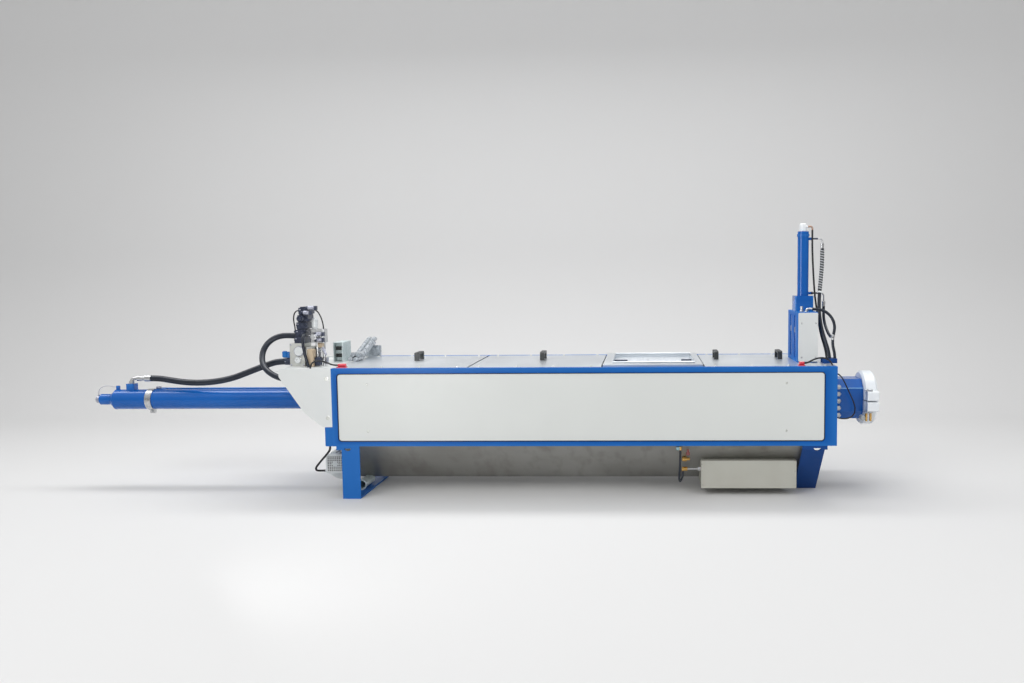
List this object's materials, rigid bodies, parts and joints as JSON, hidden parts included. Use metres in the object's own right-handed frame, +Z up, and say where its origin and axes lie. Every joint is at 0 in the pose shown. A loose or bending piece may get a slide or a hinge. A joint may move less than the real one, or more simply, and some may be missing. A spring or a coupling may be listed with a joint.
{
  "type": "hydraulic ram press separator",
  "caption": "Long closed press housing with side ram, deck feed opening, strainer trough on legs, hydraulic gate tower and clamped round outlet.",
  "frame": {"origin": "middle of the footprint box at floor level, measured without the hoses and cables", "axes": "+X along the press from the ram to the outlet, -Y towards the front panel, +Z up"},
  "size_m": [5.066, 0.84, 1.663],
  "materials": {
    "black_cable": "smooth cable sheath",
    "black_plastic": "moulded plastic",
    "black_rubber": "smooth rubber cover",
    "blue_paint": "smooth gloss paint",
    "box_cladding": "dull grey cladding sheet",
    "brass_fitting": "bare brass",
    "bright_steel": "bright plated steel",
    "cast_grey": "machined aluminium",
    "dark_metal": "dark coil housings",
    "galvanised_steel": "galvanised sheet",
    "grey_hose": "grey plastic pipe",
    "pale_paint": "satin paint",
    "pale_panel": "matt powder coat",
    "red_plastic": "moulded plastic",
    "stainless_lid": "brushed stainless sheet",
    "stainless_trough": "brushed stainless sheet",
    "white_coating": "white zinc coating",
    "white_plastic": "moulded plastic"
  },
  "bodies": {
    "root": {"auger_gearbox": "pale_paint", "auger_motor": "pale_paint", "coupling_lower_half": "white_coating", "coupling_upper_half": "white_coating", "drain_stub": "galvanised_steel", "duct_cable": "black_cable", "feed_chute": "stainless_trough", "feed_rim": "stainless_lid", "filter_bowl": "white_plastic", "filter_head": "bright_steel", "front_frame": "blue_paint", "front_ram_bracket": "pale_paint", "front_side_panel": "pale_panel", "gate_cylinder": "blue_paint", "gate_cylinder_cap": "bright_steel", "gate_front_cover": "pale_paint", "gate_housing": "blue_paint", "gate_lower_hose": "black_rubber", "gate_port_fittings": "bright_steel", "gate_return_hose": "black_rubber", "gate_sensor_cable": "black_cable", "gate_side_hose": "black_rubber", "gate_upper_hose": "black_rubber", "hose_junction": "blue_paint", "insulated_box": "box_cladding", "left_end_wall": "blue_paint", "left_leg_frame": "blue_paint", "left_lid": "stainless_lid", "left_sensor_cable": "black_cable", "lid_handles": "black_plastic", "loop_hose": "black_rubber", "main_hose": "black_rubber", "middle_lid": "stainless_lid", "motor_cable": "black_cable", "outlet_duct": "blue_paint", "position_sensors": "red_plastic", "ram_cylinder": "blue_paint", "ram_fittings": "bright_steel", "ram_return_pipe": "blue_paint", "ram_sensor_cable": "grey_hose", "ram_sensor_tip": "dark_metal", "rear_frame": "blue_paint", "rear_ram_bracket": "pale_paint", "rear_side_panel": "pale_panel", "right_end_wall": "blue_paint", "right_leg_frame": "blue_paint", "right_lid": "stainless_lid", "right_sensor_cable": "black_cable", "shut_off_valve": "dark_metal", "stack_left_cable": "black_cable", "stack_right_cable": "black_cable", "strainer_trough": "stainless_trough", "supply_pipes": "grey_hose", "terminal_cover": "galvanised_steel", "valve_carrier_plate": "pale_paint", "valve_hose": "black_rubber", "valve_manifold": "cast_grey", "valve_stack": "dark_metal", "wash_fittings": "brass_fitting", "wash_hose": "black_rubber"}
  },
  "joints": []
}
